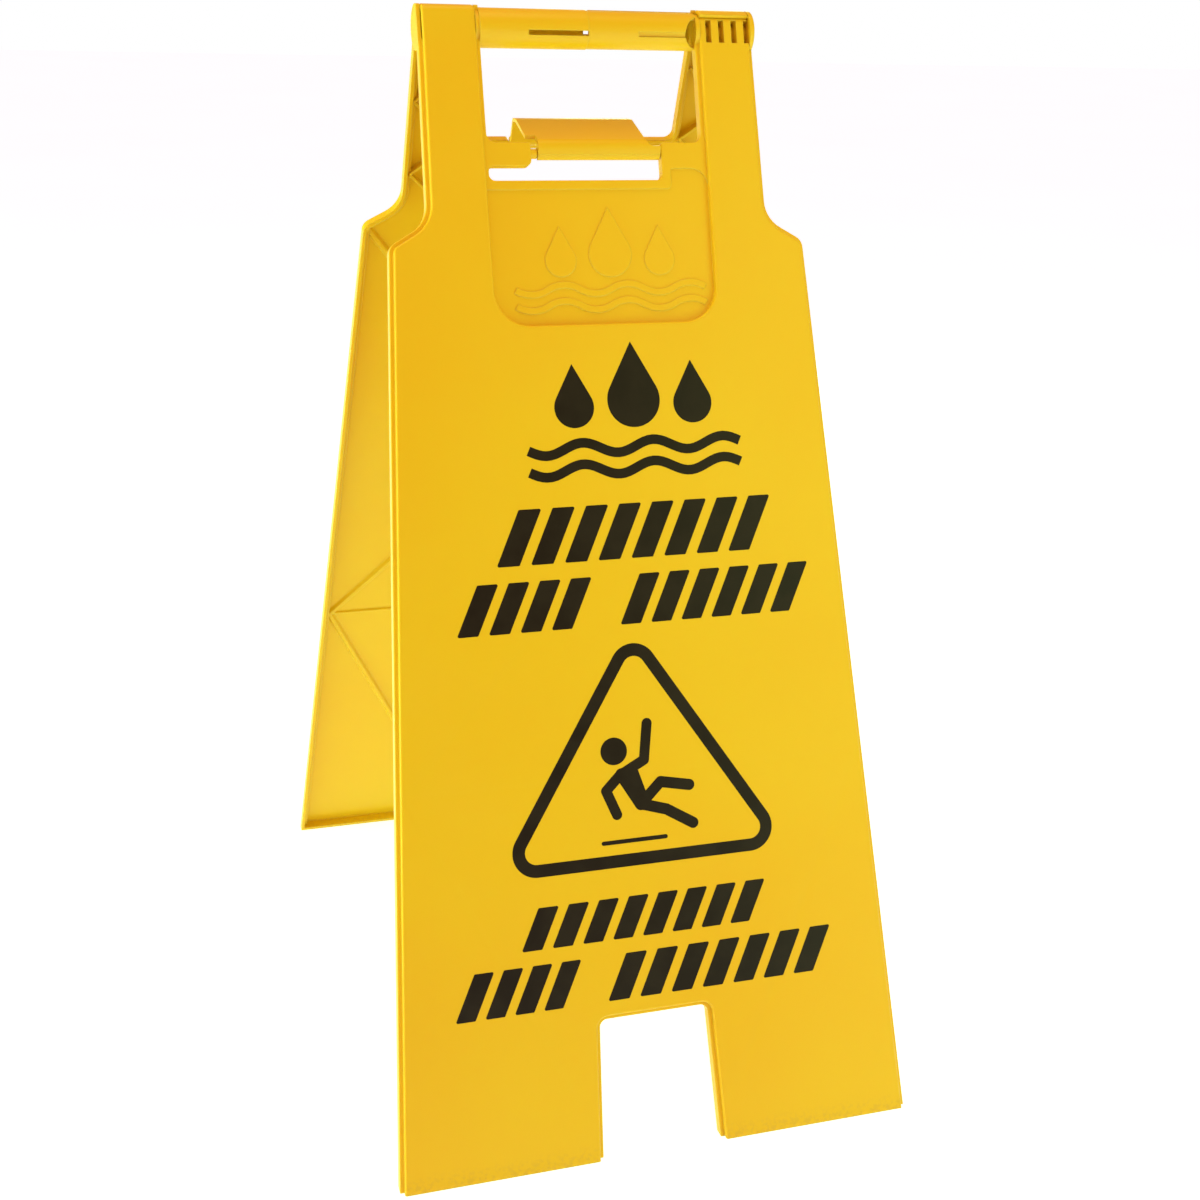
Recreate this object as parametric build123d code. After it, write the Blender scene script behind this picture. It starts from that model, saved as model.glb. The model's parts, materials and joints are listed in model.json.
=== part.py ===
"""Folding floor sign: two moulded panels of one design hinged at the carrying handle, and a lock plate.

Frame: X runs along the hinge, Z is up, the origin is on the floor midway between the two panels.
The front panel stands on the -Y side and the back panel on the +Y side.
Millimetres throughout.

A panel is first modelled hanging straight down from its hinge axis:
    x  along the hinge, v  distance below the hinge axis, w  distance out from the hinge plane.
In that pose v is -Z and w is -Y.
"""

import math
import os

from build123d import *

# ---------------------------------------------------------------- driving dimensions

PANEL_LENGTH = 636.5  # hinge axis to the outer bottom edge, along the panel
HALF_ANGLE = 19.16  # lean of each panel from the vertical when the sign stands open
FACE_W = 9.0  # outer face of the raised plate, from the hinge plane
LEDGE_W = 6.0  # face of the base sheet, which shows as a ledge round the plate
RIM_W = 0.15  # back of the rim, so that two folded panels clear each other by 0.3
LEDGE = 2.4  # width of that ledge
WALL = 2.2  # moulded wall thickness
EDGE_R = 1.1  # rounding of the plate's outer edges

TOP_HALF = 94.6  # half width of the plate beside the hinge
POST_HALF = 96.8  # half width of the plate at the foot of the handle posts
SHOULDER_HALF = 118.7  # half width at the shoulder
FOOT_HALF = 150.0  # half width at the feet
POST_FOOT_V = 108.5  # where post and shoulder lines meet
SHOULDER_V = 121.2
RECESS_HALF = 65.0  # half width of the sunk area between the posts
RECESS_V = 165.0  # bottom of the sunk area
NOTCH_HALF = 38.2  # half width of the leg cut-out at the floor
NOTCH_TOP_HALF = 34.6
NOTCH_V = 554.5  # top of the leg cut-out

BAR_BOTTOM_V = 76.7  # bottom of the crossbar below the handle opening
LEFT_BLOCK_X = -38.0  # the crossbar's left block ends here
RIGHT_BLOCK_X = 38.0  # and its right block starts here
SLOT_CORNER_R = 3.5
# Top of the crossbar, then bottom and right end of the slot under it. The back panel's crossbar is lower
# and its slot is deeper and wider, so light shows through both.
FRONT_BAR = (63.6, 84.6, 38.0)
BACK_BAR = (65.5, 95.0, 50.5)
SLOT_RIM = 5.0  # width of the rim below and beside that slot
SUNK_W = 5.1  # floor of the sunk area, a little behind the rim and the crossbar
SUNK_TOP_V = 78.2  # where the sunk area starts beside the slot
MARK_HEIGHT = 0.6  # how far the moulded mark stands proud

GRIP_R = 10.9  # outer radius of the handle
GRIP_STEP = 0.4  # how much slimmer the grip's other end is
GRIP_SLOT = (-35.6, -1.0)  # ends of the slot through the grip's shell
GRIP_GROOVE = (28.2, 59.0)  # ends of the groove in line with it
GROOVE_FLOOR = 9.3  # distance of the groove's floor from the hinge axis
GRIP_SLOT_HALF = 1.3
NECK_R = 9.7  # slimmer ends of the grip beside the cap and the knuckle
MOUTH_X = 64.5  # round mouth at the end of the second slot
MOUTH_R = 8.5
CAP_R = 12.2  # rolled cap and round ear over the hinge
KNUCKLE_R = 9.9  # front part of the slotted knuckle
BARREL_R = 6.4  # back part of the knuckle, which turns inside the cap
FIRST_SLOT_X = 68.4  # left side of the first slot in the knuckle's face
SLOT_PITCH = 7.67
SLOT_WIDTH = 3.3
PIN_R = 4.0  # hinge pin, moulded on the ear
PIN_CLEARANCE = 0.05
CAP_END = 75.0  # the cap is open past this angle, measured from the back over the top
SHELL_TOP = 110.9  # upper edge of the grip shell, the stop that holds the sign open
SHELL_BOTTOM = 268.4
KNUCKLE_X = 94.4  # outer end of the knuckle
EAR_CLEARANCE = 0.4

ROD_V = 69.4  # pivot rod of the lock plate, part of the crossbar
ROD_W = 2.85
ROD_R = 1.9
CLIP_R = 3.4  # outer radius of the clip that turns on the rod
CLIP_GAP = 0.4  # between the clip and the collar that keeps it in place
LOCK_LEFT = -39.7
LOCK_RIGHT = 29.3
CLIP_LEFT = -34.0
CLIP_RIGHT = 37.4
LOCK_SHEET = 2.0
HOOK_INSET = 3.2  # the hook is this much narrower than the sheet on the left

BIG = 400.0

SIN = math.sin(math.radians(HALF_ANGLE))
COS = math.cos(math.radians(HALF_ANGLE))
HINGE_Z = PANEL_LENGTH * COS - FACE_W * SIN  # the outer bottom edge touches the floor


# ---------------------------------------------------------------- helpers


def outline(corners):
    """Closed flat shape from (x, v, corner radius) rows, drawn in x and -v."""
    points = [(x, -v) for x, v, _ in corners]
    radii = [r for _, _, r in corners]
    return make_face(FilletPolyline(*points, radius=radii, close=True))


def slab(shape, w_low, w_high):
    """Flat shape given thickness between two distances from the hinge plane."""
    return extrude(Plane.XZ.offset(w_low) * shape, amount=w_high - w_low)


def block(x_low, x_high, v_low, v_high, w_low, w_high):
    """Box given by its ranges in x, v and w."""
    size = (x_high - x_low, w_high - w_low, v_high - v_low)
    centre = ((x_low + x_high) / 2, -(w_low + w_high) / 2, -(v_low + v_high) / 2)
    return Pos(*centre) * Box(*size)


def along_hinge(profile, x_low, x_high):
    """Profile in the plane across the hinge, drawn in y and z, swept along X."""
    return extrude(Plane.YZ.offset(x_low) * profile, amount=x_high - x_low)


def sector(start, end, radius=60.0):
    """Pie slice about the hinge axis, angles in degrees from +Y towards +Z."""
    first = (radius * math.cos(math.radians(start)), radius * math.sin(math.radians(start)))
    last = (radius * math.cos(math.radians(end)), radius * math.sin(math.radians(end)))
    sides = [Line((0, 0), first), Line(last, (0, 0))]
    return make_face([sides[0], CenterArc((0, 0), radius, start, end - start), sides[1]])


def disc(radius):
    return Circle(radius)


# ---------------------------------------------------------------- panel outlines


def plate_outline(bottom_v=PANEL_LENGTH + 6):
    """Outer edge of the raised plate, from the hinge axis down to its two feet."""
    reach = (bottom_v - SHOULDER_V) / (PANEL_LENGTH - SHOULDER_V)
    foot = SHOULDER_HALF + (FOOT_HALF - SHOULDER_HALF) * reach
    right = [
        (TOP_HALF, 0, 0),
        (TOP_HALF, 14, 40),
        (POST_HALF, POST_FOOT_V, 20),
        (SHOULDER_HALF, SHOULDER_V, 5),
        (foot, bottom_v, 0),
        (NOTCH_HALF, bottom_v, 0),
        (NOTCH_TOP_HALF, NOTCH_V, 7),
    ]
    left = [(-x, v, r) for x, v, r in reversed(right)]
    return outline(right + left)


def recess_outline():
    """Area between the posts where the raised plate is left out."""
    return outline(
        [
            (RECESS_HALF, -30, 0),
            (RECESS_HALF, RECESS_V, 20),
            (-RECESS_HALF, RECESS_V, 20),
            (-RECESS_HALF, -30, 0),
        ]
    )


def opening_outline(bar):
    """Handle opening, with the slot that runs under the crossbar."""
    half = RECESS_HALF - LEDGE
    top_v, bottom_v, right_x = bar
    right = [(half, -30, 0), (half, top_v, 5), (RIGHT_BLOCK_X, top_v, 1.5)]
    if right_x > RIGHT_BLOCK_X:
        right += [(RIGHT_BLOCK_X, BAR_BOTTOM_V, 1.5), (right_x, BAR_BOTTOM_V, SLOT_CORNER_R)]
    slot_ends = [
        (right_x, bottom_v, SLOT_CORNER_R),
        (-half, bottom_v, SLOT_CORNER_R),
        (-half, BAR_BOTTOM_V, 3),
    ]
    left = [
        (LEFT_BLOCK_X, BAR_BOTTOM_V, 3.5),
        (LEFT_BLOCK_X, top_v, 1.5),
        (-half, top_v, 5),
        (-half, -30, 0),
    ]
    return outline(right + slot_ends + left)


def sunk_outline(bar):
    """Deeper floor of the recess, which leaves a rim below and beside the slot."""
    _, bottom_v, right_x = bar
    rim_v = bottom_v + SLOT_RIM
    rim_x = right_x + SLOT_RIM
    corner_r = min(10, RECESS_HALF - rim_x - 2)
    corners = [
        (RECESS_HALF, SUNK_TOP_V, corner_r),
        (RECESS_HALF, RECESS_V, 20),
        (-RECESS_HALF, RECESS_V, 20),
        (-RECESS_HALF, rim_v, 1),
        (rim_x, rim_v, 2.5),
        (rim_x, SUNK_TOP_V, 1.5),
    ]
    return outline(corners)


def below(v):
    """Everything further down the panel than v, as a flat shape."""
    return Pos(0, -v - BIG) * Rectangle(2 * BIG, 2 * BIG)


def above(v):
    return Pos(0, -v + BIG) * Rectangle(2 * BIG, 2 * BIG)


# ---------------------------------------------------------------- panel sub-shapes


def rolled_profile(radius, face_w, corner):
    """Round top about the hinge axis, cut flat at the front face."""
    flat = Pos(BIG - face_w, 0) * Rectangle(2 * BIG, 2 * BIG)
    shape = disc(radius) & flat
    return fillet(shape.vertices(), corner)


def raised_plate():
    """Front plate with the rolled cap on one post, its outer edges rounded."""
    plate = slab(plate_outline() - recess_outline(), LEDGE_W - 1, FACE_W)
    plate = fillet([e for e in plate.edges() if is_face_rim(e)], EDGE_R)
    cap = soft_ended(rolled_profile(CAP_R, FACE_W, 4), -TOP_HALF, -RECESS_HALF)
    knob = soft_ended(rolled_profile(KNUCKLE_R, FACE_W, 2), RECESS_HALF, KNUCKLE_X)
    knob &= along_hinge(sector(88, 270), RECESS_HALF, KNUCKLE_X)
    return plate + cap + knob


def soft_ended(profile, x_low, x_high):
    """Profile swept along the hinge with both end edges rounded."""
    solid = along_hinge(profile, x_low, x_high)
    ends = solid.faces().sort_by(Axis.X)
    return fillet(ends[0].edges() + ends[-1].edges(), EDGE_R)


def is_face_rim(edge):
    """Outer edges of the front face that run down the panel or round its cut-out."""
    middle = edge @ 0.5
    on_face = abs((edge @ 0).Y + FACE_W) < 1e-3 and abs((edge @ 1).Y + FACE_W) < 1e-3
    return on_face and -PANEL_LENGTH + 1 < middle.Z < -1


def base_sheet(bar):
    """Sheet behind the plate, with the ledge and the rim that stiffens the panel."""
    outer = offset(plate_outline(), LEDGE, kind=Kind.ARC) & below(0)
    sheet = slab(outer - opening_outline(bar), RIM_W, LEDGE_W)
    rim = [e for e in sheet.edges() if abs((e @ 0.5).Y + LEDGE_W) < 1e-3 and (e @ 0.5).Z < -1]
    return fillet(rim, 0.5)


def hollow(bar):
    """Material left out behind the panel, which leaves one wall thickness everywhere."""
    low_v = 11.5
    high_v = PANEL_LENGTH - 5.5
    reach = below(low_v) & above(high_v)
    wide = offset(plate_outline(), LEDGE - WALL, kind=Kind.ARC) & reach
    wide -= offset(opening_outline(bar), WALL, kind=Kind.ARC)
    deep = offset(plate_outline(), -WALL, kind=Kind.ARC) & reach
    deep -= offset(recess_outline(), WALL, kind=Kind.ARC)
    step = LEDGE_W - SUNK_W
    backing = slab(sunk_outline(bar), LEDGE_W - WALL - step, LEDGE_W)
    return slab(wide, 0, LEDGE_W - WALL) - backing + slab(deep, 0, FACE_W - WALL)


def grip_shell():
    """Half of the handle tube, with its slot, its groove and the round mouth beside the knuckle."""
    half = RECESS_HALF - LEDGE
    arc = sector(SHELL_TOP, SHELL_BOTTOM)
    wide = along_hinge((disc(GRIP_R) - disc(GRIP_R - WALL)) & arc, -half - 0.3, -1.0)
    slim = along_hinge((disc(GRIP_R - GRIP_STEP) - disc(GRIP_R - WALL - GRIP_STEP)) & arc, -1.0, half)
    thin = (disc(NECK_R) - disc(NECK_R - WALL)) & arc
    neck = along_hinge(thin, -RECESS_HALF, -half - 0.3)
    tail = along_hinge(thin, half, RECESS_HALF)
    shell = wide + slim
    facing = Rot(HALF_ANGLE + 6, 0, 0)
    for ends, floor in ((GRIP_SLOT, 4), (GRIP_GROOVE, GROOVE_FLOOR)):
        shell -= facing * block(*ends, -GRIP_SLOT_HALF, GRIP_SLOT_HALF, floor, GRIP_R + 5)
    mouth = Rot(HALF_ANGLE, 0, 0) * Pos(MOUTH_X, -10, 0) * Rot(90, 0, 0) * Cylinder(MOUTH_R, 10)
    return shell - mouth + neck + tail


def cap_and_ear():
    """Rolled cap, the round ear at its outer end and the wall at its inner end."""
    ear = along_hinge(rolled_profile(CAP_R, LEDGE_W, 1), -TOP_HALF - LEDGE, -TOP_HALF - 0.2)
    wall_profile = rolled_profile(CAP_R, LEDGE_W, 1) & sector(SHELL_TOP, SHELL_BOTTOM)
    wall = along_hinge(wall_profile, -RECESS_HALF, -RECESS_HALF + LEDGE)
    return ear, wall


def cap_cavity():
    """Room inside the cap for the other panel's knuckle, open at the back and below."""
    inside = rolled_profile(CAP_R - WALL + 0.2, FACE_W - WALL, 3)
    room = along_hinge(inside, -TOP_HALF - 0.2, -RECESS_HALF)
    back = along_hinge(sector(-91, CAP_END), -TOP_HALF - 0.2, -RECESS_HALF)
    return room + back


def hinge_pin():
    pin = along_hinge(disc(PIN_R), -TOP_HALF - 0.6, -RECESS_HALF - 1.8)
    tip = pin.faces().sort_by(Axis.X)[-1]
    return chamfer(tip.edges(), 0.8)


def knuckle():
    """Barrel that turns on the other panel's pin, cut by slots from both sides."""
    solid = along_hinge(disc(BARREL_R), RECESS_HALF, KNUCKLE_X)
    front = rolled_profile(KNUCKLE_R, LEDGE_W, 1) & sector(SHELL_TOP, SHELL_BOTTOM)
    solid += along_hinge(front, RECESS_HALF - LEDGE, RECESS_HALF)
    return solid


def knuckle_cuts():
    """Bore for the pin, four slots in the face and three notches behind them."""
    web = (SLOT_PITCH - SLOT_WIDTH) / 2 - 1.0
    cuts = along_hinge(disc(PIN_R + PIN_CLEARANCE), RECESS_HALF + 1.2, KNUCKLE_X + 5)
    for i in range(4):
        x = FIRST_SLOT_X + SLOT_PITCH * i
        cuts += block(x, x + SLOT_WIDTH, -4.7, 8.0, -1.0, 20)
        if i:
            between = x - (SLOT_PITCH - SLOT_WIDTH) / 2
            cuts += block(between - web, between + web, -9.0, 9.0, -20, 1.0)
    return cuts


def ear_room():
    """Space on the knuckle's side for the other panel's ear."""
    return along_hinge(disc(CAP_R + EAR_CLEARANCE), KNUCKLE_X, POST_HALF + 20)


def crossbar_rod():
    """Rod between the crossbar's blocks, on which the lock plate turns, with a collar beside the plate's clip."""
    rod = along_hinge(disc(ROD_R), LEFT_BLOCK_X - 2, RIGHT_BLOCK_X + 2)
    rod += along_hinge(disc(ROD_W - RIM_W), LEFT_BLOCK_X - 2, CLIP_LEFT - CLIP_GAP)
    return Pos(0, -ROD_W, -ROD_V) * rod


def rib(start, end, w_low, thickness, flare):
    """Straight rib on the panel's inner face between two (x, v) points, wider at its root."""
    length = math.dist(start, end)
    angle = math.degrees(math.atan2(start[1] - end[1], end[0] - start[0]))
    middle = ((start[0] + end[0]) / 2, -(start[1] + end[1]) / 2)
    crest = Pos(*middle) * Rot(0, 0, angle) * Rectangle(length, thickness)
    return extrude(Plane.XZ.offset(w_low) * crest, amount=FACE_W - 1.5 - w_low, taper=-flare)


def ribs():
    """Crossed ribs behind the plate, gussets at the shoulders and bracing in the posts."""
    crossing = (134, 420)
    broad = [(crossing, (0, 277)), (crossing, (48, 604)), ((117, 124), (70, 185))]
    narrow = [(crossing, (0, 420)), ((0, 277), (0, 170))]
    bracing = [(67, 22), (95, 44), (67, 66), (95, 88), (70, 112)]
    rows = [(a, b, 4.6, 2.0, 35) for a, b in broad]
    rows += [(a, b, 5.6, 1.2, 35) for a, b in narrow]
    rows += [(a, b, 2.2, 1.4, 3) for a, b in zip(bracing, bracing[1:])]
    total = None
    for side in (-1, 1):
        for a, b, w_low, thickness, flare in rows:
            piece = rib((side * a[0], a[1]), (side * b[0], b[1]), w_low, thickness, flare)
            total = piece if total is None else total + piece
    return total


def drop(x, v, radius):
    """Flat water-drop shape, point upwards."""
    rise = 2.1 * radius
    lean = math.asin(radius / rise)
    touch = (radius * math.cos(lean), radius * math.sin(lean))
    sides = make_face(Polyline((0, rise), touch, (-touch[0], touch[1]), close=True))
    return Pos(x, -v) * (sides + Circle(radius))


def wave(x_low, v, half_length, crest, count, width):
    """Wavy band made of arcs that bend up and down in turn."""
    places = [(x_low + half_length * i, -v) for i in range(count + 1)]
    bends = [crest if i % 2 else -crest for i in range(count)]
    arcs = [SagittaArc(a, b, bend) for a, b, bend in zip(places, places[1:], bends)]
    return trace(Wire(arcs), width)


def mark():
    """Three plain drops over two waves, moulded proud of the sunk panel."""
    shape = drop(-25, 129, 9) + drop(4, 126, 12.5) + drop(33, 129, 9)
    shape += wave(-52, 145, 18.6, 2.6, 6, 3.6) + wave(-52, 154, 18.6, 2.6, 6, 3.6)
    return slab(shape, SUNK_W - 0.3, SUNK_W + MARK_HEIGHT)


# ---------------------------------------------------------------- whole pieces


def stand_up(piece):
    """Hang a piece from the hinge axis and lean it out to the open position."""
    return Pos(0, 0, HINGE_Z) * Rot(-HALF_ANGLE, 0, 0) * piece


def panel(bar):
    """One moulded panel, leaning on the -Y side and cut level with the floor."""
    ear, wall = cap_and_ear()
    body = base_sheet(bar) + raised_plate() + ear + wall + knuckle()
    body -= cap_cavity()
    body -= hollow(bar)
    body -= slab(sunk_outline(bar), SUNK_W, FACE_W + 5)
    body += ribs() & (slab(offset(plate_outline(), -0.5), 0, FACE_W) - slab(recess_outline(), 0, 20))
    body -= ear_room()
    body += grip_shell() + hinge_pin() + crossbar_rod() + mark()
    body -= knuckle_cuts()
    floor = Pos(0, 0, -BIG) * Box(2 * BIG, 2 * BIG, 2 * BIG)
    return stand_up(body) - floor


def sheet_path(points, radii):
    """Bent sheet profile about a centre line."""
    return trace(FilletPolyline(*points, radius=radii), LOCK_SHEET)


def lock_profile():
    """Sheet that rises from the clip on the front rod to a crest and hooks over the back rod."""
    span = 2 * rod_centre()[0]
    hook_low = span - ROD_R - 1.45
    hook_high = span + ROD_R + 1.45
    points = [
        (-2.75, 0),
        (-2.75, 6.2),
        (26.3, 15.6),
        (33.1, 15.6),
        (39.4, 1.6),
        (hook_low - 1, 1.6),
        (hook_low, 3.4),
        (hook_high, 3.4),
        (hook_high, -2.4),
    ]
    sheet = sheet_path(points, [4.5, 2, 2, 1.8, 1.1, 1.1, 1.3])
    clip = disc(CLIP_R) - sector(-100, -20)
    return sheet + clip - disc(ROD_R + PIN_CLEARANCE)


def lock_trim():
    """Cut-outs beside the clip, beside the hook and along the plate's right side."""
    hook_y = 39.8
    clip_side = Pos(LOCK_LEFT, -5.5, 0) * Box(2 * (CLIP_LEFT - LOCK_LEFT), 20, 24)
    hook_side = Pos(LOCK_LEFT, hook_y + 20, 0) * Box(2 * HOOK_INSET, 40, 30)
    beyond = CLIP_RIGHT + 20
    corners = [(LOCK_RIGHT, -40, 0), (LOCK_RIGHT, -4.8, 4.5), (beyond, -4.8, 0), (beyond, -40, 0)]
    right_side = slab(outline(corners), -30, 30)
    right_side += along_hinge(Pos(BIG + 4, 0) * Rectangle(2 * BIG, 2 * BIG), LOCK_RIGHT, beyond)
    return clip_side + hook_side + right_side


def rod_centre():
    """Centre of the back panel's rod in y and z; the front one mirrors it."""
    y = ROD_V * SIN + ROD_W * COS
    z = HINGE_Z - ROD_V * COS + ROD_W * SIN
    return y, z


def lock_plate():
    y, z = rod_centre()
    return Pos(0, -y, z) * (along_hinge(lock_profile(), LOCK_LEFT, CLIP_RIGHT) - lock_trim())


def main():
    os.makedirs("parts", exist_ok=True)
    front = panel(FRONT_BAR)
    back = Rot(0, 0, 180) * panel(BACK_BAR)
    pieces = {"front_panel": front, "back_panel": back, "lock_plate": lock_plate()}
    for name, piece in pieces.items():
        print(name, "solids", len(piece.solids()), "volume", round(piece.volume))
        export_step(piece, f"parts/{name}.step")


main()
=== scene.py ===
"""Looks of the folding floor sign: moulded yellow plastic, screen-printed warning marks, floor, lights, camera.

Metres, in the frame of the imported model: X along the hinge, Z up, the front panel on the -Y side.
The print is drawn in the panels' own flat frame, in millimetres:
    x  along the hinge, v  distance down the panel from the hinge axis, w  distance out from the hinge plane.
"""

import json
import math

import bmesh
import bpy
from mathutils import Matrix, Vector
from mathutils.geometry import delaunay_2d_cdt


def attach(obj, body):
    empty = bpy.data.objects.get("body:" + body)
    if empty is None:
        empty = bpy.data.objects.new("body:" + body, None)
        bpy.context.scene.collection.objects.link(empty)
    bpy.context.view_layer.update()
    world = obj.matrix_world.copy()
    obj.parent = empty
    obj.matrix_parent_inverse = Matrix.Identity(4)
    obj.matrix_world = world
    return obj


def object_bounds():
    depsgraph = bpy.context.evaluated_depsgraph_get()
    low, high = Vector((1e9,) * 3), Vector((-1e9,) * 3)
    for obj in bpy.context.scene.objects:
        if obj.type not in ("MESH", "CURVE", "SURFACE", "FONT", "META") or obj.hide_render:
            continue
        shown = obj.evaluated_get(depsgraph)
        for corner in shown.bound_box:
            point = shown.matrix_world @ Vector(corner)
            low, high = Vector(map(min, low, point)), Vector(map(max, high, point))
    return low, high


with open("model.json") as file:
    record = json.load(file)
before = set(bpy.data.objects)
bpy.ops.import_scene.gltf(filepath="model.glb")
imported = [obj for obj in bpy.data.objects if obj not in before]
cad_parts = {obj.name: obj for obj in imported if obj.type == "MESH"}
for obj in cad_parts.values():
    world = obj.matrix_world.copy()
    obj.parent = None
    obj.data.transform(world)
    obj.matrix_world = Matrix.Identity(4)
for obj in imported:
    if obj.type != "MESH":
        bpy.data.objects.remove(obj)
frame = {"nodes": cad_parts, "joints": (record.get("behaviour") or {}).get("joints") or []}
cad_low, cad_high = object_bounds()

# ---------------------------------------------------------------- driving values

MM = 0.001
LEAN = math.radians(19.16)  # each panel's lean from the vertical
FACE_W = 9.0  # outer face of a panel, in millimetres as are all lengths of the print
FILM = 0.07  # thickness of the printed ink
FILM_SUNK = 0.02  # how far the film reaches into the plastic
ARC_STEP = math.radians(6)  # largest step along a round outline
WAVE_STEP = 2.5  # step along a wavy outline
DROP_RISE = 2.1  # height of a drop's point over its middle, in radii of its round end

BAR_SLANT = math.radians(24)
BAR_SHARE = 0.66  # share of the pitch that a hazard bar fills
BAR_CORNER = 0.9
# Rows of hazard bars: top and bottom, then the groups as (left, right, number of bars).
ROWS = [
    (266, 297, [(-74, 89, 8)]),
    (306, 334, [(-99, -21, 4), (-5, 110, 6)]),
    (488, 511.5, [(-75, 71, 8)]),
    (520, 546, [(-115, -42, 4), (-27, 110, 7)]),
]

DROPS = [(-24, 211, 11.5), (11, 208, 15.5), (46, 211, 11.5)]  # x, v and radius
WAVES_V = (234, 246)
WAVE_ENDS = (-52, 73)
WAVE_SWING = 3.2
WAVE_LENGTH = 41.7
WAVE_STROKE = 5.5

TRIANGLE_MIDDLE = 0.5
TRIANGLE_HALF = 77.5
TRIANGLE_TOP = 345.0
TRIANGLE_BOTTOM = 471.0
TRIANGLE_OUTER_R = 14.0
TRIANGLE_STROKE = 7.2

ARM_STROKE = 6.0
LEG_STROKE = 6.4
TORSO_STROKE = 7.0
HEAD_R = 7.8

HINGE = Vector(next(j["pos_m"] for j in frame["joints"] if j["name"] == "fold"))

CAMERA_PLACE = (-0.2771, -0.9409, 0.6286)
CAMERA_YAW = math.radians(17.474)  # to the right of +Y
CAMERA_PITCH = math.radians(-20.759)
CAMERA_ROLL = math.radians(1.815)
CAMERA_LENS = 49.584
SENSOR = 36.0

FLOOR_HALF = 12.0
FLOOR_DROP = 0.0002  # the floor lies this far under the feet
WORLD_LIGHT = (0.63, 0.29, 0.20)  # the warm light that the surroundings give, though they look white
FLOOR_GLOW = 0.82  # the floor is a lit table, so it stays white
# Soft boxes: name, place, target, width and height, watts, colour.
SOFTBOXES = [
    ("top", (-0.2, -0.1, 2.0), (0.0, 0.0, 0.3), (1.2, 1.2), 11, (1.0, 0.95, 0.35)),
    ("left", (-1.5, 0.05, 0.45), (-0.1, 0.0, 0.3), (0.4, 1.2), 18, (0.75, 1.0, 0.60)),
    ("inside", (-1.3, -0.25, 0.15), (-0.05, 0.12, 0.3), (0.5, 0.3), 2.5, (0.55, 1.0, 0.30)),
    ("right", (0.42, -0.55, 0.45), (0.1, -0.12, 0.3), (0.4, 0.9), 1.6, (0.55, 1.0, 0.40)),
    ("back", (0.9, 1.7, 0.8), (0.0, 0.1, 0.3), (0.9, 0.9), 9, (0.60, 1.0, 0.40)),
]

YELLOW = (0.80, 0.57, 0.011, 1)
ORANGE = (0.80, 0.52, 0.009, 1)
# colour of the painted highlight that the edges are lightened towards
PAINTED_EDGE_HIGHLIGHT = (0.90, 0.77, 0.09, 1)
SCUFF = (0.55, 0.36, 0.05, 1)
INK = (0.008, 0.006, 0.002, 1)
INK_THIN = (0.013, 0.010, 0.004, 1)
FLOOR_TONES = ((0.86, 0.86, 0.86, 1), (0.89, 0.89, 0.885, 1))
FLOOR_LIGHT = (0.58, 0.88, 1.0, 1)
PLASTIC_IOR = 1.49
EDGE_RADIUS = 0.0009  # bevel radius: rounds the shading at edges and sets how wide the painted highlight line along an edge is
# Rib lines behind the face, as (|x|, v) ends in metres: the plastic sinks a little over them.
SINK_LINES = [((0.134, 0.420), (0.0, 0.277)), ((0.134, 0.420), (0.0, 0.420)), ((0.134, 0.420), (0.048, 0.604))]
SINK_HALF = 0.0035


# ---------------------------------------------------------------- flat outlines


def arc(centre, radius, start, end):
    """Points on an arc, both ends included, angles in radians."""
    count = max(2, math.ceil(abs(end - start) / ARC_STEP) + 1)
    found = []
    for i in range(count):
        angle = start + (end - start) * i / (count - 1)
        found.append((centre[0] + radius * math.cos(angle), centre[1] + radius * math.sin(angle)))
    return found


def circle(centre, radius):
    return arc(centre, radius, 0, 2 * math.pi)[:-1]


def capsule(a, b, width):
    """Straight stroke with round ends."""
    lean = math.atan2(b[1] - a[1], b[0] - a[0])
    half = width / 2
    near = arc(a, half, lean + math.pi / 2, lean + 1.5 * math.pi)
    far = arc(b, half, lean - math.pi / 2, lean + math.pi / 2)
    return near + far


def stroke(points, width):
    """Bent stroke as overlapping capsules."""
    return [capsule(a, b, width) for a, b in zip(points, points[1:])]


def hull_of_circles(centres, radius):
    """Rounded polygon round circle centres given in order."""
    found = []
    for i, here in enumerate(centres):
        before = centres[i - 1]
        after = centres[(i + 1) % len(centres)]
        start = math.atan2(here[1] - before[1], here[0] - before[0]) - math.pi / 2
        end = math.atan2(after[1] - here[1], after[0] - here[0]) - math.pi / 2
        while end < start:
            end += 2 * math.pi
        found += arc(here, radius, start, end)
    return found


def drop(x, v, radius):
    """Water drop with its point upwards; (x, v) is the middle of its round end."""
    rise = DROP_RISE * radius
    lean = math.asin(radius / rise)
    return [(x, v - rise)] + arc((x, v), radius, -lean, math.pi + lean)


def slanted_bar(x, v_top, v_bottom, width):
    """One bar of a hazard stripe, its top shifted to the right."""
    shift = (v_bottom - v_top) * math.tan(BAR_SLANT) / 2
    half = width / 2 - BAR_CORNER
    top = v_top + BAR_CORNER
    bottom = v_bottom - BAR_CORNER
    upper = [(x - half + shift, top), (x + half + shift, top)]
    lower = [(x + half - shift, bottom), (x - half - shift, bottom)]
    return hull_of_circles(upper + lower, BAR_CORNER)


def wave(v):
    """Wavy stroke, drawn as a closed band."""
    x_low, x_high = WAVE_ENDS
    count = round((x_high - x_low) / WAVE_STEP)
    upper, lower = [], []
    for i in range(count + 1):
        x = x_low + (x_high - x_low) * i / count
        turn = 2 * math.pi * (x - x_low) / WAVE_LENGTH
        middle = v + WAVE_SWING * math.sin(turn)
        slope = WAVE_SWING * 2 * math.pi / WAVE_LENGTH * math.cos(turn)
        scale = WAVE_STROKE / 2 / math.hypot(1, slope)
        upper.append((x + slope * scale, middle - scale))
        lower.append((x - slope * scale, middle + scale))
    return upper + lower[::-1]


# ---------------------------------------------------------------- ink films


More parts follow.
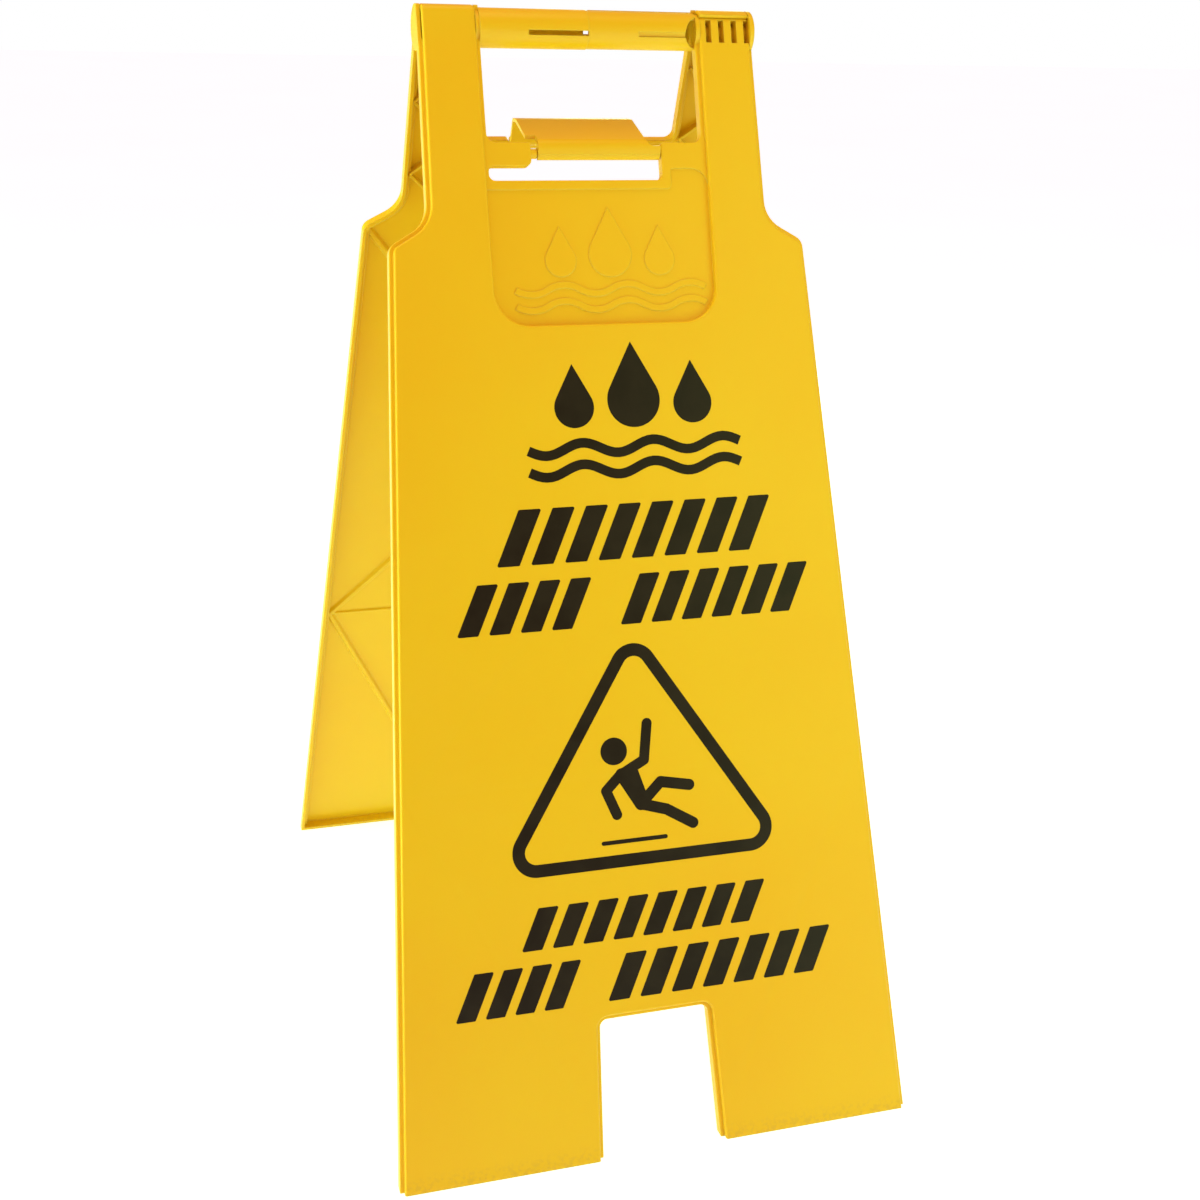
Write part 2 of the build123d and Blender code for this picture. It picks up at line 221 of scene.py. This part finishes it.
def panel_matrix(turned):
    """From the flat frame of a panel (x, -w, -v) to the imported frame."""
    leaning = Matrix.Translation(HINGE) @ Matrix.Rotation(-LEAN, 4, "X")
    return Matrix.Rotation(math.pi, 4, "Z") @ leaning if turned else leaning


def film_mesh(name, inked, clear):
    """Closed thin solid of the union of the inked outlines, less the clear ones."""
    places, loops = [], []
    for outline in [*inked, *clear]:
        loops.append(list(range(len(places), len(places) + len(outline))))
        places += [Vector(p) for p in outline]
    flat, _, triangles, _, _, owners = delaunay_2d_cdt(places, [], loops, 1, 1e-4)
    mesh = bpy.data.meshes.new(name)
    bm = bmesh.new()
    low = [bm.verts.new((p[0] * MM, -(FACE_W - FILM_SUNK) * MM, -p[1] * MM)) for p in flat]
    for triangle, own in zip(triangles, owners):
        if own and max(own) < len(inked):
            bm.faces.new([low[i] for i in triangle])
    bmesh.ops.delete(bm, geom=[v for v in bm.verts if not v.link_faces], context="VERTS")
    bmesh.ops.recalc_face_normals(bm, faces=bm.faces)
    grown = bmesh.ops.extrude_face_region(bm, geom=bm.faces[:])
    raised = [g for g in grown["geom"] if isinstance(g, bmesh.types.BMVert)]
    bmesh.ops.translate(bm, verts=raised, vec=(0, -FILM * MM, 0))
    bmesh.ops.recalc_face_normals(bm, faces=bm.faces)
    bm.to_mesh(mesh)
    bm.free()
    return mesh


def ink_piece(name, inked, clear, material):
    """The same print on both panels, one piece on each."""
    for side, turned in (("front", False), ("back", True)):
        mesh = film_mesh(f"{side}_{name}", inked, clear)
        mesh.materials.append(material)
        piece = bpy.data.objects.new(f"{side}_{name}", mesh)
        bpy.context.scene.collection.objects.link(piece)
        piece.matrix_world = panel_matrix(turned)
        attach(piece, f"{side}_panel")


def hazard_row(v_top, v_bottom, groups):
    """Outlines of all bars of one row."""
    found = []
    for left, right, count in groups:
        shift = (v_bottom - v_top) * math.tan(BAR_SLANT)
        pitch = (right - left - shift) / (count - 1 + BAR_SHARE)
        width = pitch * BAR_SHARE
        for i in range(count):
            found.append(slanted_bar(left + shift / 2 + width / 2 + pitch * i, v_top, v_bottom, width))
    return found


def drops_mark():
    """Three drops falling into two waves."""
    return [drop(*row) for row in DROPS] + [wave(v) for v in WAVES_V]


def warning_triangle():
    """Outer and inner outline of the rounded triangle."""
    spread = TRIANGLE_HALF - TRIANGLE_OUTER_R
    low = TRIANGLE_BOTTOM - TRIANGLE_OUTER_R
    top = (TRIANGLE_MIDDLE, TRIANGLE_TOP + TRIANGLE_OUTER_R)
    centres = [top, (TRIANGLE_MIDDLE + spread, low), (TRIANGLE_MIDDLE - spread, low)]
    outer = hull_of_circles(centres, TRIANGLE_OUTER_R)
    inner = hull_of_circles(centres, TRIANGLE_OUTER_R - TRIANGLE_STROKE)
    return outer, inner


def slipping_figure():
    """Plain stick figure falling backwards over a floor line."""
    head = circle((-14.5, 405), HEAD_R)
    torso = []
    for i in range(5):
        shoulder = (-11 + 1.6 * i, 418.5 - 0.4 * i)
        hip = (-0.5 + 0.4 * i, 436.5 - 0.3 * i)
        torso.append(capsule(shoulder, hip, TORSO_STROKE))
    raised_arm = stroke([(-10, 418), (3, 411.5), (6, 391)], ARM_STROKE)
    lowered_arm = stroke([(-12, 419), (-20.5, 427), (-15, 441)], ARM_STROKE)
    high_leg = stroke([(0, 436), (12, 425), (29, 428.5)], LEG_STROKE)
    low_leg = stroke([(0, 436.5), (14.5, 441), (30, 450.5)], LEG_STROKE)
    floor_line = stroke([(-24, 456.5), (13, 456.5)], 2.4)
    return [head, *torso, *raised_arm, *lowered_arm, *high_leg, *low_leg, *floor_line]


# ---------------------------------------------------------------- material helpers


class Nodes:
    """Small helper that adds nodes to one material and links them."""

    def __init__(self, name):
        self.material = bpy.data.materials.new(name)
        self.material.use_nodes = True
        self.tree = self.material.node_tree
        self.shader = self.tree.nodes["Principled BSDF"]

    def add(self, kind, values=None, **settings):
        node = self.tree.nodes.new(kind)
        for key, value in settings.items():
            setattr(node, key, value)
        for key, value in (values or {}).items():
            if isinstance(value, bpy.types.NodeSocket):
                self.tree.links.new(value, node.inputs[key])
            else:
                node.inputs[key].default_value = value
        return node

    def math(self, operation, a, b=0.0, clamp=False):
        return self.add("ShaderNodeMath", {0: a, 1: b}, operation=operation, use_clamp=clamp).outputs[0]

    def vector(self, operation, a, b=(0, 0, 0), output="Vector"):
        return self.add("ShaderNodeVectorMath", {0: a, 1: b}, operation=operation).outputs[output]

    def noise(self, place, scale, detail=3.0, roughness=0.5):
        values = {"Vector": place, "Scale": scale, "Detail": detail, "Roughness": roughness}
        return self.add("ShaderNodeTexNoise", values).outputs["Fac"]

    def ramp(self, value, low, high, to_low, to_high):
        values = {"Value": value, "From Min": low, "From Max": high, "To Min": to_low, "To Max": to_high}
        return self.add("ShaderNodeMapRange", values, interpolation_type="SMOOTHSTEP").outputs["Result"]

    def mix(self, factor, a, b, blend="MIX"):
        node = self.add("ShaderNodeMix", data_type="RGBA", blend_type=blend)
        for index, value in ((0, factor), (6, a), (7, b)):
            if isinstance(value, bpy.types.NodeSocket):
                self.tree.links.new(value, node.inputs[index])
            else:
                node.inputs[index].default_value = value
        return node.outputs[2]

    def bump(self, height, distance, normal=None):
        values = {"Height": height, "Distance": distance, "Strength": 1.0}
        if normal is not None:
            values["Normal"] = normal
        return self.add("ShaderNodeBump", values).outputs["Normal"]

    def drive(self, socket, value):
        self.tree.links.new(value, self.shader.inputs[socket])

    def fix(self, socket, value):
        self.shader.inputs[socket].default_value = value


# ---------------------------------------------------------------- materials


def flat_place(n, place, turned):
    """(|x|, v, 0) of a point of a panel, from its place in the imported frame."""
    if turned:
        place = n.vector("MULTIPLY", place, (-1, -1, 1))
    values = {"Vector": place, "Location": tuple(HINGE), "Rotation": (-LEAN, 0, 0)}
    local = n.add("ShaderNodeMapping", values, vector_type="TEXTURE").outputs["Vector"]
    parts = n.add("ShaderNodeSeparateXYZ", {"Vector": local}).outputs
    across = n.math("ABSOLUTE", parts["X"])
    down = n.math("MULTIPLY", parts["Z"], -1.0)
    return n.add("ShaderNodeCombineXYZ", {"X": across, "Y": down}).outputs["Vector"]


def sink_marks(n, flat):
    """1 on a rib line, falling to 0 beside it."""
    total = None
    for start, end in SINK_LINES:
        run = (end[0] - start[0], end[1] - start[1], 0)
        from_start = n.vector("SUBTRACT", flat, (*start, 0))
        along = n.vector("DOT_PRODUCT", from_start, run, output="Value")
        share = n.math("DIVIDE", along, run[0] ** 2 + run[1] ** 2, clamp=True)
        scaled = n.add("ShaderNodeVectorMath", {0: run, "Scale": share}, operation="SCALE").outputs["Vector"]
        away = n.vector("LENGTH", n.vector("SUBTRACT", from_start, scaled), output="Value")
        line = n.ramp(away, 0.0, SINK_HALF, 1.0, 0.0)
        total = line if total is None else n.math("MAXIMUM", total, line)
    return total


def plastic(name, turned=None):
    """Semi-gloss moulded polypropylene: pigment drift, orange peel, a painted highlight along the edges, light
    scuffs.
    """
    n = Nodes(name)
    place = n.add("ShaderNodeTexCoord").outputs["Object"]
    rounded = n.add("ShaderNodeBevel", {"Radius": EDGE_RADIUS}, samples=4).outputs["Normal"]
    true_normal = n.add("ShaderNodeNewGeometry").outputs["Normal"]
    facing = n.vector("DOT_PRODUCT", rounded, true_normal, output="Value")
    edge = n.ramp(facing, 0.80, 0.995, 1.0, 0.0)

    drift = n.noise(place, 4.0, 2.0)
    colour = n.mix(n.ramp(drift, 0.35, 0.65, 0.0, 1.0), YELLOW, ORANGE)
    speckle = n.ramp(n.noise(place, 1400.0, 2.0), 0.62, 0.72, 0.0, 0.06)
    colour = n.mix(speckle, colour, ORANGE)
    # painted highlight: edges found by the bevel normal are lightened towards a pale yellow, convex and concave
    # alike
    colour = n.mix(n.math("MULTIPLY", edge, 0.6), colour, PAINTED_EDGE_HIGHLIGHT)

    stretch = {"Vector": place, "Scale": (1.0, 0.25, 0.08), "Rotation": (0, 0.5, 0)}
    stretched = n.add("ShaderNodeMapping", stretch).outputs["Vector"]
    hairlines = n.ramp(n.noise(stretched, 900.0, 4.0, 0.6), 0.66, 0.72, 0.0, 1.0)
    smudges = n.ramp(n.noise(place, 22.0, 4.0, 0.55), 0.45, 0.75, 0.0, 1.0)
    height_now = n.add("ShaderNodeSeparateXYZ", {"Vector": place}).outputs["Z"]
    near_floor = n.ramp(height_now, 0.0, 0.012, 1.0, 0.0)
    worn = n.math("MULTIPLY", near_floor, n.ramp(n.noise(place, 400.0, 4.0, 0.6), 0.45, 0.62, 0.0, 0.3))
    colour = n.mix(worn, colour, SCUFF)
    n.drive("Base Color", colour)

    rough = n.math("ADD", n.math("MULTIPLY", smudges, 0.07), 0.33)
    rough = n.math("ADD", rough, n.math("MULTIPLY", hairlines, 0.10))
    rough = n.math("ADD", rough, n.math("MULTIPLY", worn, 0.4))
    n.drive("Roughness", rough)

    normal = n.bump(n.noise(place, 9.0, 1.0), 0.0006, rounded)
    normal = n.bump(n.noise(place, 420.0, 2.0), 0.00002, normal)
    normal = n.bump(n.noise(place, 2600.0, 1.0), 0.000006, normal)
    if turned is not None:
        sunk = sink_marks(n, flat_place(n, place, turned))
        normal = n.bump(n.math("MULTIPLY", sunk, -1.0), 0.00006, normal)
    n.drive("Normal", normal)
    n.fix("IOR", PLASTIC_IOR)
    n.fix("Specular IOR Level", 0.3)
    n.fix("Subsurface Weight", 0.15)
    n.fix("Subsurface Radius", (1.0, 0.5, 0.1))
    n.fix("Subsurface Scale", 0.003)
    return n.material


def ink():
    """Satin screen ink: a brown-black film with a slightly uneven lay."""
    n = Nodes("screen_ink")
    place = n.add("ShaderNodeTexCoord").outputs["Object"]
    lay = n.noise(place, 60.0, 3.0)
    n.drive("Base Color", n.mix(n.ramp(lay, 0.3, 0.7, 0.0, 1.0), INK, INK_THIN))
    grain = n.noise(place, 2400.0, 2.0)
    rough = n.math("ADD", n.math("MULTIPLY", grain, 0.10), n.ramp(lay, 0.3, 0.7, 0.30, 0.38))
    n.drive("Roughness", rough)
    n.drive("Normal", n.bump(grain, 0.000006, n.bump(lay, 0.00004)))
    n.fix("IOR", PLASTIC_IOR)
    n.fix("Specular IOR Level", 0.22)
    return n.material


def floor_paint():
    """Matt white paint with a faint cloud, lit from within."""
    n = Nodes("pale_floor")
    place = n.add("ShaderNodeTexCoord").outputs["Object"]
    tone = n.noise(place, 1.5, 3.0)
    n.drive("Base Color", n.mix(n.ramp(tone, 0.3, 0.7, 0.0, 1.0), *FLOOR_TONES))
    n.drive("Roughness", n.ramp(n.noise(place, 30.0), 0.3, 0.7, 0.62, 0.72))
    n.drive("Normal", n.bump(n.noise(place, 180.0, 2.0), 0.00002))
    n.fix("Emission Color", FLOOR_LIGHT)
    n.fix("Emission Strength", FLOOR_GLOW)
    return n.material


# ---------------------------------------------------------------- dressing the model


def paint_node(name, material):
    node = frame["nodes"][name]
    node.data.materials.clear()
    node.data.materials.append(material)


def dress_model():
    paint_node("front_panel", plastic("front_plastic", turned=False))
    paint_node("back_panel", plastic("back_plastic", turned=True))
    paint_node("lock_plate", plastic("lock_plastic"))
    film = ink()
    ink_piece("ink_drops", drops_mark(), [], film)
    for i, (v_top, v_bottom, groups) in enumerate(ROWS):
        ink_piece(f"ink_row_{i + 1}", hazard_row(v_top, v_bottom, groups), [], film)
    outer, inner = warning_triangle()
    ink_piece("ink_triangle", [outer], [inner], film)
    ink_piece("ink_figure", slipping_figure(), [], film)


# ---------------------------------------------------------------- studio


def floor():
    """Wide flat floor, a grid of quads with its top at the sign's feet."""
    mesh = bpy.data.meshes.new("floor")
    bm = bmesh.new()
    bmesh.ops.create_grid(bm, x_segments=8, y_segments=8, size=FLOOR_HALF)
    bm.to_mesh(mesh)
    bm.free()
    mesh.materials.append(floor_paint())
    ground = bpy.data.objects.new("floor", mesh)
    bpy.context.scene.collection.objects.link(ground)
    ground.location.z = cad_low.z - FLOOR_DROP


def softbox(name, place, target, size, power, colour):
    light = bpy.data.lights.new(name, "AREA")
    light.shape = "RECTANGLE"
    light.size, light.size_y = size
    light.energy = power
    light.color = colour
    lamp = bpy.data.objects.new(name, light)
    lamp.location = place
    lamp.rotation_euler = (Vector(target) - Vector(place)).to_track_quat("-Z", "Y").to_euler()
    bpy.context.scene.collection.objects.link(lamp)


def studio():
    """White surroundings that light the sign less than they look, and the soft boxes."""
    world = bpy.data.worlds.new("studio")
    world.use_nodes = True
    tree = world.node_tree
    seen = tree.nodes.new("ShaderNodeLightPath").outputs["Is Camera Ray"]
    tint = tree.nodes.new("ShaderNodeMix")
    tint.data_type = "RGBA"
    tint.inputs[6].default_value = (*WORLD_LIGHT, 1)
    tint.inputs[7].default_value = (1, 1, 1, 1)
    tree.links.new(seen, tint.inputs[0])
    tree.links.new(tint.outputs[2], tree.nodes["Background"].inputs["Color"])
    bpy.context.scene.world = world
    for box in SOFTBOXES:
        softbox(*box)
    bpy.context.scene.view_settings.view_transform = "Standard"


def camera():
    along = Vector((math.sin(CAMERA_YAW), math.cos(CAMERA_YAW), 0)) * math.cos(CAMERA_PITCH)
    forward = along + Vector((0, 0, math.sin(CAMERA_PITCH)))
    level = Vector((math.cos(CAMERA_YAW), -math.sin(CAMERA_YAW), 0))
    upright = level.cross(forward)
    right = level * math.cos(CAMERA_ROLL) + upright * math.sin(CAMERA_ROLL)
    up = right.cross(forward)
    axes = Matrix((right, up, -forward)).transposed().to_4x4()
    data = bpy.data.cameras.new("camera")
    data.sensor_width = SENSOR
    data.lens = CAMERA_LENS
    data.clip_start = 0.01
    data.clip_end = 100
    seen_from = bpy.data.objects.new("camera", data)
    seen_from.matrix_world = Matrix.Translation(CAMERA_PLACE) @ axes
    bpy.context.scene.collection.objects.link(seen_from)
    bpy.context.scene.camera = seen_from


dress_model()
floor()
studio()
camera()

bpy.context.view_layer.update()
